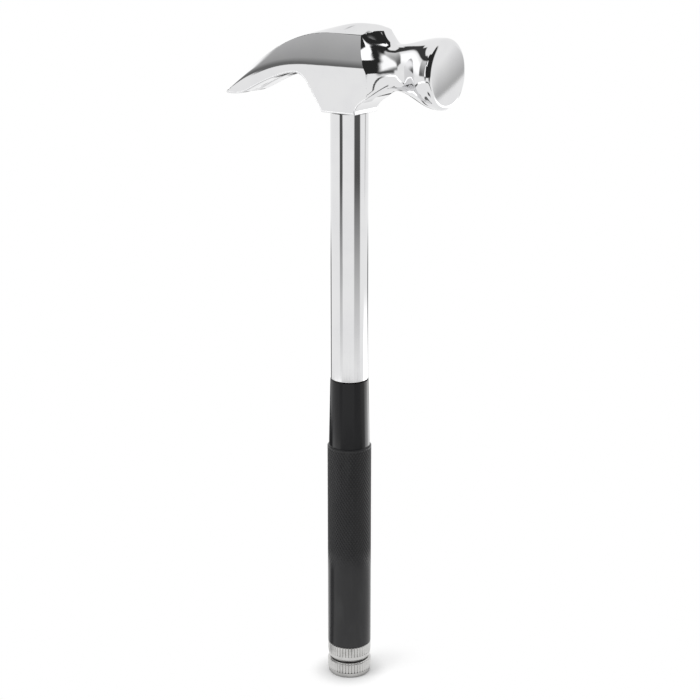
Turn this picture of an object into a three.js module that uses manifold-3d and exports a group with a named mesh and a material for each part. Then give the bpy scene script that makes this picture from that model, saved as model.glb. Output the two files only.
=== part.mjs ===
// Multi-tool hammer: a claw hammer head on a steel tube, with four screwdrivers
// that screw into one another, from the black-sleeved grip down to the small one
// whose end disc is the foot. Millimetres, +Z up the handle, origin at the centre
// of the foot, +X towards the striking face and -X towards the claw.
import * as THREE from 'three';
import { mergeVertices } from 'three/addons/utils/BufferGeometryUtils.js';
import Module from 'manifold-3d';

const wasm = await Module();
wasm.setup();

// Fits
const seatGap = 0.15; // between two shoulders that are screwed together
const pressClearance = 0.05; // radial, between pieces that are pressed together
const threadClearance = 0.15; // radial, between a male and a female thread
const slideClearance = 0.35; // radial, between a driver and the barrel it is stored in
const tipGap = 2; // from a stored driver's tip to what lies above it
const edgeChamfer = 0.3; // on turned edges

// Smallest driver, whose end disc is the foot
const endDiscDiameter = 11.6;
const endDiscHeight = 1.3;
const endBossLength = 3.9;
const endBossWall = 0.9;
const endBladeDiameter = 2.2;
const endBladeLength = 30;
const endBladeFloor = 0.7; // metal left under the blade

// Slim driver, with the lower knurled ring
const slimKnobDiameter = 12.1;
const slimKnobHeight = 2.75;
const slimNeckHeight = 0.35;
const slimNeckDiameter = 7.8;
const slimThreadLength = 5.4;
const slimThreadWall = 0.5;
const slimBarrelWall = 0.45;
const slimBladeDiameter = 2.6;
const slimBladeLength = 15;
const slimBladeHold = 5;
const slimTipWidth = 3.2;
const slimTipLength = 4;
const slimTipThickness = 0.6;

// Middle driver, with the upper knurled ring
const middleKnobDiameter = 12;
const middleKnobHeight = 2.35;
const middleConeHeight = 2.15;
const middleConeDiameter = 8.2;
const middleThreadLength = 7.2;
const middleThreadWall = 0.55;
const middleBarrelWall = 0.5;
const middleBladeDiameter = 3.6;
const middleBladeHold = 6;
const crossPointLength = 3.2;
const crossPointDiameter = 0.9;
const crossSlotWidth = 0.9;
const crossSlotRunout = 0.6; // of the slots beyond the cone

// Grip: a swaged barrel in a black skin, which is the largest driver's handle
const skinWall = 0.4;
const barrelWall = 0.85;
const rearBushLength = 8.5;
const rearBushWall = 0.6;
const gripSmoothLength = 21.4;
const gripTextureLength = 37.2;
const gripNoseLength = 19;
const gripShoulderStep = 0.42;
const gripShoulderLength = 0.6;
const noseLip = 0.18; // how far the skin stands proud of the tube
const plugLength = 12;
const plugStep = 0.7;
const plugThreadLength = 9;
const plugThreadLand = 0.25; // beyond the blade's width
const gripBladeDiameter = 4.4;
const gripTipWidth = 6;
const gripTipLength = 8;
const gripTipThickness = 1;
const tipSquareness = 1.2; // over 1, a flat tip's corners get squarer
const tipSpread = 0.45; // share of the rod's diameter left where a tip is widest

// Shaft tube of the hammer
const tubeLength = 72;
const tubeWall = 0.85;
const shaftBushLength = 10;
const shaftBushWall = 0.7;

// Hammer head
const headHeight = 22.8; // from the tube's end to the top of the crown
const crownDip = 2.6; // from the ridge to the crown's edge
const crownShare = 0.66; // of the cheeks' width
const crownReach = 3; // the crown is level from here to the shoulder
const cheekHeight = 12.7; // from the tube's end to the crease
const cheekInset = 0.02; // of the socket's sides under the block's
const socketHeight = 9.7; // from the tube's end to the claw's underside
const socketLip = 0.2; // of the head round the tube's end
const spigotLength = 14; // of the head inside the tube
const clawReach = 36.9;
const clawDrop = 20.2; // from the crown to the claw's tip
const clawRootLength = 9.2; // of the hollow under the claw
const clawRootSet = 4.6; // of the hollow's foot beyond the socket
const throatFlare = 1.6; // of the hollow under the neck
const throatHeight = 5.4;
const shoulderReach = 7.2; // where the sides turn in to the neck
const shoulderNose = 3.5; // the crown runs on beyond the sides
const hollowKnee = 0.55; // share of the run to the neck where the hollow bends
const pollHeight = 12; // of the poll's axis over the tube's end
const neckReach = 15.3;
const neckDiameter = 11.4;
const bellDiameter = 17.8;
const bellRim = 4;
const faceReach = 30;
const faceEdge = 0.7;
const notchDepth = 18;
const notchWidth = 4.2;

const roundSegments = 40;
const slimSegments = 24;
const loftSteps = 22;
const hollowSteps = 5;

// Diameters, worked out from the smallest driver outwards
const endBossDiameter = endBladeDiameter + 2 * endBossWall;
const slimBore = endBossDiameter + 2 * threadClearance;
const slimBarrelBore = Math.max(endBladeDiameter, slimBladeDiameter) + 2 * slideClearance;
const slimBarrelDiameter = Math.max(slimBarrelBore + 2 * slimBarrelWall, slimBore + slimBarrelWall);
const slimSocket = slimBarrelDiameter + 2 * pressClearance;
const slimThreadDiameter = slimSocket + 2 * slimThreadWall;
const middleBore = slimThreadDiameter + 2 * threadClearance;
const middleBarrelBore = slimBarrelDiameter + 2 * slideClearance;
const middleBarrelDiameter = Math.max(middleBarrelBore + 2 * middleBarrelWall, middleBore + middleBarrelWall);
const middleSocket = middleBarrelDiameter + 2 * pressClearance;
const middleThreadDiameter = middleSocket + 2 * middleThreadWall;
const rearBushBore = middleThreadDiameter + 2 * threadClearance;
const rearBushDiameter = rearBushBore + 2 * rearBushWall;
const barrelBore = rearBushDiameter + 2 * pressClearance;
const barrelDiameter = barrelBore + 2 * barrelWall;
const skinBore = barrelDiameter + 2 * pressClearance;
const gripDiameter = skinBore + 2 * skinWall;
const plugThreadDiameter = gripTipWidth + 2 * plugThreadLand;
const plugDiameter = plugThreadDiameter + 2 * plugStep;
const plugSocket = plugDiameter + 2 * pressClearance;
const shaftBushBore = plugThreadDiameter + 2 * threadClearance;
const shaftBushDiameter = shaftBushBore + 2 * shaftBushWall;
const tubeBore = shaftBushDiameter + 2 * pressClearance;
const tubeDiameter = tubeBore + 2 * tubeWall;
const noseTopDiameter = tubeDiameter + 2 * noseLip;
const noseLowDiameter = gripDiameter - 2 * gripShoulderStep;
const skinDepth = 2 * (skinWall + pressClearance);

// Heights, from the foot upwards
const slimKnobBottom = endDiscHeight + seatGap;
const slimKnobTop = slimKnobBottom + slimKnobHeight;
const slimThreadBottom = slimKnobTop + slimNeckHeight;
const slimThreadTop = slimThreadBottom + slimThreadLength;
const endBossTop = endDiscHeight + endBossLength;
const slimBarrelBottom = endBossTop + seatGap;
const middleKnobBottom = slimThreadBottom + seatGap;
const middleConeTop = middleKnobBottom + middleConeHeight;
const middleKnobTop = middleConeTop + middleKnobHeight;
const middleThreadTop = middleKnobTop + middleThreadLength;
const middleBarrelBottom = slimThreadTop + seatGap;
const gripBottom = middleKnobTop + seatGap;
const gripTextureBottom = gripBottom + gripSmoothLength;
const gripShoulder = gripTextureBottom + gripTextureLength;
const gripTop = gripShoulder + gripNoseLength;
const plugBottom = gripTop - plugLength;
const tubeBottom = gripTop + seatGap;
const tubeTop = tubeBottom + tubeLength;
const headBase = tubeTop + seatGap;
const spigotBottom = headBase - spigotLength;
const endBladeBottom = endBladeFloor + seatGap;
const endBladeTip = endBladeBottom + endBladeLength;
const slimBladeBottom = endBladeTip + tipGap;
const slimBladeTip = slimBladeBottom + slimBladeLength;
const slimBarrelTop = slimBladeBottom + slimBladeHold;
const middleBladeBottom = slimBladeTip + tipGap;
const middleBladeTip = plugBottom - tipGap;
const middleBarrelTop = middleBladeBottom + middleBladeHold;
const gripBladeTip = spigotBottom - tipGap;

const chrome = { color: 0xd8dadc, roughness: 0.08, metalness: 1 };
const nickel = { color: 0xb9b7b0, roughness: 0.32, metalness: 1 };
const blackSkin = { color: 0x17181a, roughness: 0.42, metalness: 0 };
const steel = { color: 0x9a9da1, roughness: 0.3, metalness: 1 };
const brass = { color: 0xb89a54, roughness: 0.35, metalness: 1 };

const hammer = new THREE.Group();

function addPiece(name, geometry, finish) {
  const mesh = new THREE.Mesh(geometry, new THREE.MeshStandardMaterial(finish));
  mesh.name = name;
  hammer.add(mesh);
}

// A body turned about Z from [diameter, height] pairs, its outer wall running upwards.
function turned(pairs, segments = roundSegments) {
  const points = pairs.map(([diameter, height]) => new THREE.Vector2(diameter / 2, height));
  return new THREE.LatheGeometry(points, segments).rotateX(Math.PI / 2);
}

// A turned ring, whose profile closes on itself.
function ring(pairs, segments) {
  return turned([...pairs, pairs[0]], segments);
}

function solidFrom(geometry) {
  const bare = geometry.clone();
  bare.deleteAttribute('normal');
  bare.deleteAttribute('uv');
  const merged = mergeVertices(bare, 1e-4);
  const corners = merged.index.array;
  const kept = [];
  for (let i = 0; i < corners.length; i += 3) {
    const [a, b, c] = [corners[i], corners[i + 1], corners[i + 2]];
    if (a !== b && b !== c && c !== a) kept.push(a, b, c);
  }
  const vertProperties = new Float32Array(merged.attributes.position.array);
  return new wasm.Manifold(new wasm.Mesh({ numProp: 3, vertProperties, triVerts: new Uint32Array(kept) }));
}

function geometryFrom(solid) {
  const mesh = solid.getMesh();
  const geometry = new THREE.BufferGeometry();
  geometry.setAttribute('position', new THREE.BufferAttribute(new Float32Array(mesh.vertProperties), 3));
  geometry.setIndex(new THREE.BufferAttribute(new Uint32Array(mesh.triVerts), 1));
  geometry.computeVertexNormals();
  return geometry;
}

// A closed skin through rows of matching points, with a flat fan over each end row.
function loft(rows) {
  const count = rows[0].length;
  const positions = rows.flat().flatMap((point) => [point.x, point.y, point.z]);
  const index = [];
  for (let row = 0; row + 1 < rows.length; row += 1) {
    for (let i = 0; i < count; i += 1) {
      const next = (i + 1) % count;
      const [a, b] = [row * count + i, row * count + next];
      const [c, d] = [a + count, b + count];
      index.push(a, b, d, a, d, c);
    }
  }
  const last = (rows.length - 1) * count;
  for (let i = 1; i + 1 < count; i += 1) {
    index.push(0, i + 1, i);
    index.push(last, last + i, last + i + 1);
  }
  const geometry = new THREE.BufferGeometry();
  geometry.setAttribute('position', new THREE.Float32BufferAttribute(positions, 3));
  geometry.setIndex(index);
  geometry.computeVertexNormals();
  return geometry;
}

// A flat screwdriver tip: the rod is spread to the tip's width and thinned to its thickness.
function flatBlade(diameter, bottom, tip, tipWidth, tipLength, tipThickness) {
  const spreadStart = tip - 2 * tipLength;
  const spreadEnd = tip - tipLength;
  const sides = slimSegments;
  const outline = (width, thickness, height) => Array.from({ length: sides }, (_, i) => {
    const angle = (i / sides) * 2 * Math.PI;
    const across = THREE.MathUtils.clamp(Math.cos(angle) * tipSquareness, -1, 1);
    const through = THREE.MathUtils.clamp(Math.sin(angle) * tipSquareness, -1, 1);
    return new THREE.Vector3(across * width / 2, through * thickness / 2, height);
  });
  const round = (height) => Array.from({ length: sides }, (_, i) => {
    const angle = (i / sides) * 2 * Math.PI;
    return new THREE.Vector3(Math.cos(angle) * diameter / 2, Math.sin(angle) * diameter / 2, height);
  });
  return loft([
    round(bottom),
    round(spreadStart),
    outline(tipWidth, diameter * tipSpread, spreadEnd),
    outline(tipWidth, tipThickness, tip),
  ]);
}

// A cross point: a rod ending in a blunt cone with four slots.
function crossBlade(diameter, bottom, tip) {
  const rod = solidFrom(turned([
    [0, bottom], [diameter, bottom], [diameter, tip - crossPointLength], [crossPointDiameter, tip], [0, tip],
  ], slimSegments));
  const slotDepth = crossPointLength + crossSlotRunout;
  const slotOffset = crossSlotWidth / 2 + diameter / 2;
  let cut = rod;
  for (let quarter = 0; quarter < 4; quarter += 1) {
    const slot = new THREE.BoxGeometry(diameter, diameter, slotDepth);
    slot.translate(slotOffset, slotOffset, tip - slotDepth / 2 + edgeChamfer);
    slot.rotateZ(quarter * Math.PI / 2);
    cut = cut.subtract(solidFrom(slot));
  }
  return geometryFrom(cut);
}

// A barrel that is open below and swaged to a nose which grips its blade.
function swagedBarrel(diameter, bore, bladeDiameter, bottom, hold, top) {
  const noseDiameter = bladeDiameter + diameter - bore;
  const nosePinch = bladeDiameter + 2 * pressClearance;
  const noseStart = hold + seatGap;
  return ring([
    [bore, bottom], [diameter, bottom], [diameter, noseStart], [noseDiameter, top],
    [nosePinch, top], [nosePinch, noseStart], [bore, hold - seatGap],
  ], slimSegments);
}

// Smallest driver
addPiece('end_driver_knob', turned([
  [0, 0],
  [endDiscDiameter - 2 * edgeChamfer, 0],
  [endDiscDiameter, edgeChamfer],
  [endDiscDiameter, endDiscHeight],
  [endBossDiameter, endDiscHeight],
  [endBossDiameter, endBossTop],
  [endBladeDiameter + 2 * pressClearance, endBossTop],
  [endBladeDiameter + 2 * pressClearance, endBladeFloor],
  [0, endBladeFloor],
]), nickel);
addPiece('end_driver_blade', crossBlade(endBladeDiameter, endBladeBottom, endBladeTip), steel);

// Slim driver
addPiece('slim_driver_knob', ring([
  [slimBore, slimKnobBottom],
  [slimKnobDiameter - 2 * edgeChamfer, slimKnobBottom],
  [slimKnobDiameter, slimKnobBottom + edgeChamfer],
  [slimKnobDiameter, slimKnobTop - edgeChamfer],
  [slimKnobDiameter - 2 * edgeChamfer, slimKnobTop],
  [slimNeckDiameter, slimKnobTop],
  [slimNeckDiameter, slimThreadBottom],
  [slimThreadDiameter, slimThreadBottom],
  [slimThreadDiameter, slimThreadTop],
  [slimSocket, slimThreadTop],
  [slimSocket, endBossTop],
  [slimBore, endBossTop],
]), nickel);
addPiece('slim_driver_barrel', swagedBarrel(
  slimBarrelDiameter, slimBarrelBore, slimBladeDiameter, slimBarrelBottom, slimBladeBottom, slimBarrelTop,
), steel);
addPiece('slim_driver_blade', flatBlade(
  slimBladeDiameter, slimBladeBottom + 2 * seatGap, slimBladeTip,
  slimTipWidth, slimTipLength, slimTipThickness,
), steel);

// Middle driver
addPiece('middle_driver_knob', ring([
  [middleBore, middleKnobBottom],
  [middleConeDiameter, middleKnobBottom],
  [middleKnobDiameter, middleConeTop],
  [middleKnobDiameter, middleKnobTop],
  [middleThreadDiameter, middleKnobTop],
  [middleThreadDiameter, middleThreadTop],
  [middleSocket, middleThreadTop],
  [middleSocket, slimThreadTop],
  [middleBore, slimThreadTop],
]), nickel);
addPiece('middle_driver_barrel', swagedBarrel(
  middleBarrelDiameter, middleBarrelBore, middleBladeDiameter,
  middleBarrelBottom, middleBladeBottom, middleBarrelTop,
), steel);
addPiece('middle_driver_blade', crossBlade(
  middleBladeDiameter, middleBladeBottom + 2 * seatGap, middleBladeTip,
), steel);

// Grip, which is the largest driver
const shoulderTop = gripShoulder + gripShoulderLength;
addPiece('grip_thread_bush', ring([
  [rearBushBore, gripBottom],
  [rearBushDiameter, gripBottom],
  [rearBushDiameter, gripBottom + rearBushLength],
  [rearBushBore, gripBottom + rearBushLength],
]), brass);
addPiece('grip_barrel', ring([
  [barrelBore, gripBottom],
  [barrelDiameter, gripBottom],
  [barrelDiameter, gripShoulder - gripShoulderLength],
  [noseLowDiameter - skinDepth, gripShoulder],
  [noseTopDiameter - skinDepth, gripTop - seatGap],
  [plugSocket, gripTop - seatGap],
  [plugSocket, plugBottom - seatGap],
  [barrelBore, gripShoulder - gripShoulderLength],
]), steel);
addPiece('grip_sleeve', ring([
  [skinBore, gripBottom],
  [gripDiameter, gripBottom],
  [gripDiameter, gripShoulder],
  [noseLowDiameter, shoulderTop],
  [noseTopDiameter, gripTop],
  [noseTopDiameter - 2 * skinWall, gripTop],
  [noseLowDiameter - 2 * skinWall, gripShoulder],
  [skinBore, gripShoulder - gripShoulderLength],
]), blackSkin);
addPiece('grip_nose_plug', ring([
  [gripBladeDiameter + 2 * pressClearance, plugBottom],
  [plugDiameter, plugBottom],
  [plugDiameter, gripTop],
  [plugThreadDiameter, gripTop],
  [plugThreadDiameter, gripTop + plugThreadLength],
  [gripBladeDiameter + 2 * pressClearance, gripTop + plugThreadLength],
]), steel);
addPiece('grip_driver_blade', flatBlade(
  gripBladeDiameter, plugBottom, gripBladeTip, gripTipWidth, gripTipLength, gripTipThickness,
), steel);

// Shaft tube, with the female thread for the grip pressed into its lower end
addPiece('shaft_thread_bush', ring([
  [shaftBushBore, tubeBottom],
  [shaftBushDiameter, tubeBottom],
  [shaftBushDiameter, tubeBottom + shaftBushLength],
  [shaftBushBore, tubeBottom + shaftBushLength],
]), brass);
addPiece('shaft_tube', ring([
  [tubeBore, tubeBottom],
  [tubeDiameter, tubeBottom],
  [tubeDiameter, tubeTop],
  [tubeBore, tubeTop],
]), chrome);

// Hammer head. Guide lines run from the shoulder to the claw's tip; a section joins
// the underside, the crease over the flat cheek, the crown's edge and its ridge.
const cheekHalf = tubeDiameter / 2 + socketLip;
const crownHalf = cheekHalf * crownShare;
const headTop = headBase + headHeight;
const edgeHeight = headTop - crownDip;
const creaseHeight = headBase + cheekHeight;
const undersideHeight = headBase + socketHeight;
const pollAxis = headBase + pollHeight;
const neckRadius = neckDiameter / 2;
const bellRadius = bellDiameter / 2;
const bellReach = faceReach - bellRim;
const clawTipHeight = headTop - clawDrop;
const underHalf = cheekHalf - edgeChamfer;

// A point on the block, and one on the claw, at a share of its reach and of its fall.
const block = (reach, half, height) => new THREE.Vector3(reach, half, height);
const claw = (reachShare, half, from, fallShare) => block(
  -clawReach * reachShare, half, from + (clawTipHeight - from) * fallShare,
);
const undersideLine = [
  block(shoulderReach, cheekHalf, undersideHeight),
  block(crownReach, cheekHalf, undersideHeight),
  claw(0.16, cheekHalf, undersideHeight, 0),
  claw(0.38, cheekHalf, undersideHeight, 0),
  claw(0.55, underHalf, undersideHeight, 0.24),
  claw(0.72, underHalf, undersideHeight, 0.6),
  claw(0.88, underHalf, undersideHeight, 0.98),
  claw(0.97, underHalf, undersideHeight, 1.03),
];
const creaseLine = [
  block(shoulderReach, cheekHalf, creaseHeight),
  block(crownReach, cheekHalf, creaseHeight),
  claw(0.16, cheekHalf, creaseHeight, 0.005),
  claw(0.38, cheekHalf, creaseHeight, 0.05),
  claw(0.58, cheekHalf, creaseHeight, 0.19),
  claw(0.76, cheekHalf, creaseHeight, 0.46),
  claw(0.91, cheekHalf, creaseHeight, 0.8),
  claw(0.985, cheekHalf, creaseHeight, 0.98),
];
const edgeLine = [
  block(shoulderReach, crownHalf, edgeHeight),
  block(crownReach, crownHalf, edgeHeight),
  claw(0.16, crownHalf, edgeHeight, 0),
  claw(0.4, crownHalf, edgeHeight, 0.11),
  claw(0.6, crownHalf * 1.1, edgeHeight, 0.32),
  claw(0.78, crownHalf * 1.22, edgeHeight, 0.58),
  claw(0.94, crownHalf * 1.3, edgeHeight, 0.85),
  claw(0.995, crownHalf * 1.3, edgeHeight, 0.965),
];
const ridgeLine = [
  block(shoulderReach + shoulderNose, 0, headTop),
  block(crownReach, 0, headTop),
  claw(0.16, 0, headTop, 0.085),
  claw(0.42, 0, headTop, 0.215),
  claw(0.62, 0, headTop, 0.39),
  claw(0.8, 0, headTop, 0.635),
  claw(0.95, 0, headTop, 0.885),
  claw(1, 0, headTop, 0.975),
];
const guideLines = [undersideLine, creaseLine, edgeLine, ridgeLine];
const guides = guideLines.map((points) => new THREE.CatmullRomCurve3(points));

// From the shoulder each line drops in a hollow curve to the round neck, at its own angle.
const neckAngles = [-22, 10, 58, 90].map(THREE.MathUtils.degToRad);
const neckInset = 0.2; // the block ends inside the turned neck
const hollows = guideLines.map((points, line) => {
  const start = points[0];
  const radius = neckRadius - neckInset;
  const half = radius * Math.cos(neckAngles[line]);
  const height = pollAxis + radius * Math.sin(neckAngles[line]);
  const knee = block(start.x + (neckReach - start.x) * hollowKnee, half, height);
  return new THREE.QuadraticBezierCurve3(block(neckReach, half, height), knee, start);
});
const mirrored = (point) => block(point.x, -point.y, point.z);
const sectionsOf = (curves, steps, first) => Array.from({ length: steps + 1 - first }, (_, i) => {
  const side = curves.map((curve) => curve.getPoint((i + first) / steps));
  const ridge = side.pop();
  return [...side.map(mirrored), ridge, ...side.reverse()];
});
const clawAndBlock = solidFrom(loft([
  ...sectionsOf(hollows, hollowSteps, 0),
  ...sectionsOf(guides, loftSteps, 1),
]));

// The cheeks and the socket, as one plate that is as wide as the tube's end needs.
const cheek = new THREE.Shape();
const rootReach = cheekHalf + clawRootLength;
const rootFoot = socketHeight - clawRootSet / 2;
const rootLean = clawRootSet / rootFoot;
const plateTop = undersideHeight + edgeChamfer;
cheek.moveTo(-cheekHalf, headBase);
cheek.lineTo(cheekHalf, headBase);
cheek.quadraticCurveTo(
  cheekHalf + throatFlare, headBase + throatHeight,
  neckReach, pollAxis - neckRadius + edgeChamfer,
);
cheek.lineTo(neckReach, plateTop);
cheek.lineTo(-rootReach, plateTop);
cheek.lineTo(-rootReach, undersideHeight - cheekInset);
cheek.quadraticCurveTo(
  -cheekHalf - rootLean * socketHeight, undersideHeight,
  -cheekHalf - clawRootSet, headBase + rootFoot,
);
cheek.lineTo(-cheekHalf, headBase);
const plateHalf = cheekHalf - cheekInset;
const plate = new THREE.ExtrudeGeometry(cheek, {
  depth: 2 * plateHalf,
  bevelEnabled: false,
  curveSegments: 8,
});
plate.translate(0, 0, -plateHalf);
plate.rotateX(Math.PI / 2);

// Turned about the poll's axis: the neck, the bell and its flat striking face.
const bellFlare = (bellReach - neckReach) / 2;
const bellBack = new THREE.CubicBezierCurve(
  new THREE.Vector2(neckReach, neckRadius),
  new THREE.Vector2(neckReach + bellFlare / 2, neckRadius),
  new THREE.Vector2(bellReach - bellFlare, bellRadius),
  new THREE.Vector2(bellReach, bellRadius),
).getPoints(8).map((point) => [2 * point.y, point.x]);
const neckRoot = shoulderReach / 2;
const neckAndBell = turned([
  [0, neckRoot],
  [2 * (cheekHalf - edgeChamfer), neckRoot],
  [2 * (cheekHalf - edgeChamfer), shoulderReach],
  ...bellBack,
  [bellDiameter, faceReach - faceEdge],
  [bellDiameter - 2 * faceEdge, faceReach],
  [0, faceReach],
]);
neckAndBell.rotateY(Math.PI / 2);
neckAndBell.translate(0, 0, pollAxis);

// The nail notch splits the claw into two tines.
const notch = new THREE.Shape();
const notchMouth = -clawReach - edgeChamfer;
notch.moveTo(notchDepth - clawReach, 0);
notch.lineTo(notchMouth, notchWidth / 2);
notch.lineTo(notchMouth, -notchWidth / 2);
const notchCutter = new THREE.ExtrudeGeometry(notch, { depth: 2 * headHeight, bevelEnabled: false });
notchCutter.translate(0, 0, headBase - headHeight / 2);

const spigotDiameter = tubeBore - 2 * pressClearance;
const spigotRoot = headBase + socketHeight / 2;
const spigot = turned([
  [0, spigotBottom],
  [spigotDiameter, spigotBottom],
  [spigotDiameter, spigotRoot],
  [0, spigotRoot],
]);

const head = clawAndBlock
  .add(solidFrom(plate))
  .subtract(solidFrom(notchCutter))
  .add(solidFrom(neckAndBell))
  .add(solidFrom(spigot));
addPiece('hammer_head', geometryFrom(head), chrome);

export default hammer;
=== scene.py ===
import math
from itertools import product

import bpy
import numpy as np
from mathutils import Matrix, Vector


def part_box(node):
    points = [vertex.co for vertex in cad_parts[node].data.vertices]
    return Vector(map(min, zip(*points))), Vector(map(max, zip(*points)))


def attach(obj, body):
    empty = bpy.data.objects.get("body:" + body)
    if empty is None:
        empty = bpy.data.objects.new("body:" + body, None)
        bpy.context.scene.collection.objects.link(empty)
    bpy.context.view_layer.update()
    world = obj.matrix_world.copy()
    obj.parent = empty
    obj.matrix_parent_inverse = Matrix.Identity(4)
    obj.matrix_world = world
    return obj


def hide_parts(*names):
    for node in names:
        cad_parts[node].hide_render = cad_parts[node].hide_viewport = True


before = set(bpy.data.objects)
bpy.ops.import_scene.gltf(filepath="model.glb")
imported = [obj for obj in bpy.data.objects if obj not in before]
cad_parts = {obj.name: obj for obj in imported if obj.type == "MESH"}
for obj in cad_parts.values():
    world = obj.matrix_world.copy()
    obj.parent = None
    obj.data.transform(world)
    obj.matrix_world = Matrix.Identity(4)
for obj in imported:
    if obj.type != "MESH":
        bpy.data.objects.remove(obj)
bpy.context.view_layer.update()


# Hammer head: one steel casting, ground, polished and chromed all over. The claw and the
# cheeks are faceted, and the poll has a waisted neck and a round bell. Its spigot is
# pressed into the tube. Lengths are in millimetres, and meshes are scaled to metres.
MM = 0.001
SEAT_GAP = 0.15
HEAD_HEIGHT, CROWN_DIP, CLAW_DROP = 22.8, 2.6, 20.2
CHEEK_HEIGHT, SOCKET_HEIGHT, POLL_HEIGHT = 12.7, 9.7, 12
SOCKET_LIP, CHEEK_LEAN, CROWN_SHARE = 0.2, 0.4, 0.66
LEVEL_REACH, BLOCK_END, WAIST_REACH, BELL_REACH = 3, 7.2, 15.3, 27.8


def corners(node):
    """The low and the high corner of a solid's box, in millimetres."""
    low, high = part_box(node)
    return np.array(low) / MM, np.array(high) / MM


tube_low, tube_high = corners("shaft_tube")
head_low, head_high = corners("hammer_head")
tube_radius = tube_high[0]
head_base = tube_high[2] + SEAT_GAP
claw_reach = -head_low[0]
face_reach = head_high[0]
bell_radius = head_high[1]
crown_top = head_base + HEAD_HEIGHT
crown_edge = crown_top - CROWN_DIP
cheek_crease = head_base + CHEEK_HEIGHT
claw_underside = head_base + SOCKET_HEIGHT
poll_axis = head_base + POLL_HEIGHT
claw_tip = crown_top - CLAW_DROP
cheek_half = tube_radius + SOCKET_LIP
crown_half = CROWN_SHARE * cheek_half


def smooth_curve(xs, ys):
    """A curve through points whose bend runs on without a break, straight past its ends."""
    order = np.argsort(xs)
    xs = np.array(xs, float)[order]
    ys = np.array(ys, float)[order]
    gap = np.diff(xs)
    slope = np.diff(ys) / gap
    last = len(xs) - 1
    system = np.eye(last + 1)
    change = np.zeros(last + 1)
    for i in range(1, last):
        system[i, i - 1:i + 2] = gap[i - 1], 2 * (gap[i - 1] + gap[i]), gap[i]
        change[i] = 6 * (slope[i] - slope[i - 1])
    bend = np.linalg.solve(system, change)
    first_slope = slope[0] - gap[0] * (2 * bend[0] + bend[1]) / 6
    last_slope = slope[-1] + gap[-1] * (bend[-2] + 2 * bend[-1]) / 6

    def height(x):
        i = np.clip(np.searchsorted(xs, x) - 1, 0, last - 1)
        inside = np.clip(x, xs[0], xs[-1])
        before, after = inside - xs[i], xs[i + 1] - inside
        wide = gap[i]
        rounded = (bend[i] * after ** 3 + bend[i + 1] * before ** 3) / (6 * wide)
        straight = (ys[i] / wide - bend[i] * wide / 6) * after
        straight = straight + (ys[i + 1] / wide - bend[i + 1] * wide / 6) * before
        beyond = first_slope * np.minimum(x - xs[0], 0) + last_slope * np.maximum(x - xs[-1], 0)
        return rounded + straight + beyond

    return height


def claw_line(start, *shares):
    """A guide line from the block to the tip, at shares of the claw's reach and of its fall."""
    xs = [BLOCK_END, LEVEL_REACH] + [-claw_reach * reach for reach, fall in shares]
    ys = [start, start] + [start + (claw_tip - start) * fall for reach, fall in shares]
    return smooth_curve(xs, ys)


underside_at = claw_line(
    claw_underside, (0.16, 0), (0.38, 0), (0.55, 0.24), (0.72, 0.62), (0.88, 0.97), (0.97, 0.99))
crease_at = claw_line(
    cheek_crease, (0.16, 0.005), (0.38, 0.04), (0.58, 0.2), (0.76, 0.48), (0.91, 0.77), (0.985, 0.93))
edge_at = claw_line(
    crown_edge, (0.16, 0), (0.4, 0.11), (0.6, 0.32), (0.78, 0.59), (0.94, 0.872), (0.995, 0.965))
ridge_at = claw_line(
    crown_top, (0.16, 0.085), (0.42, 0.215), (0.62, 0.39), (0.8, 0.635), (0.95, 0.885), (1, 0.965))
crown_half_at = smooth_curve(
    [BLOCK_END, LEVEL_REACH, -0.4 * claw_reach, -0.6 * claw_reach, -0.78 * claw_reach, -claw_reach],
    crown_half * np.array([1, 1, 1.1, 1.27, 1.42, 1.54]))


def rounded_edge(first, second, radius):
    """Where two faces meet: the deeper one, with the edge between them rounded off."""
    near = np.maximum(radius - np.abs(first - second), 0) / radius
    return np.maximum(first, second) + near * near * radius / 4


def filleted_join(first, second, radius):
    """Where two faces meet: the shallower one, with the inner corner between them filled."""
    return -rounded_edge(-first, -second, radius)


def eased(share):
    """A share from 0 to 1 that starts and ends gently."""
    share = np.clip(share, 0, 1)
    return share * share * (3 - 2 * share)


def foot_depth(x, z):
    """How far a point lies below the claw's underside and outside the socket's two curved ends."""
    socket_lean = 0.62
    throat_height, throat_flare, throat_power = 6.6, 10.1, 2.2
    root_fillet = 3
    left = (-x - cheek_half - socket_lean * (z - head_base)) / math.hypot(1, socket_lean)
    up_throat = np.clip((z - head_base) / throat_height, 0, 1.2)
    throat = x - cheek_half - throat_flare * up_throat ** throat_power
    throat_slope = throat_flare * throat_power * up_throat ** (throat_power - 1) / throat_height
    socket = np.maximum(left, throat / np.hypot(1, throat_slope))
    under = underside_at(np.minimum(x, BLOCK_END)) - z
    return np.maximum(filleted_join(under, socket, root_fillet), head_base - z)


def crown_depth(x, y, z):
    """How far a point lies above the crown, a ridged roof that sags and flattens to its prow."""
    least_dip, ridge_softness = 0.2, 0.8
    flat_start, flat_run, flatness = 6, 9, 0.73
    prow_sag, prow_run = 0.7, 4.3
    along = np.minimum(x, BLOCK_END)
    ridge, half = ridge_at(along), crown_half_at(along)
    dip = np.maximum(ridge - edge_at(along), least_dip)
    dip = dip * (1 - flatness * eased((x - flat_start) / flat_run))
    sag = prow_sag * (np.maximum(x - BLOCK_END, 0) / prow_run) ** 2
    fall = np.hypot(y, ridge_softness) - ridge_softness
    full_fall = np.hypot(half, ridge_softness) - ridge_softness
    return (z - ridge + sag + dip * fall / full_fall) / np.hypot(1, dip / half)


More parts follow.
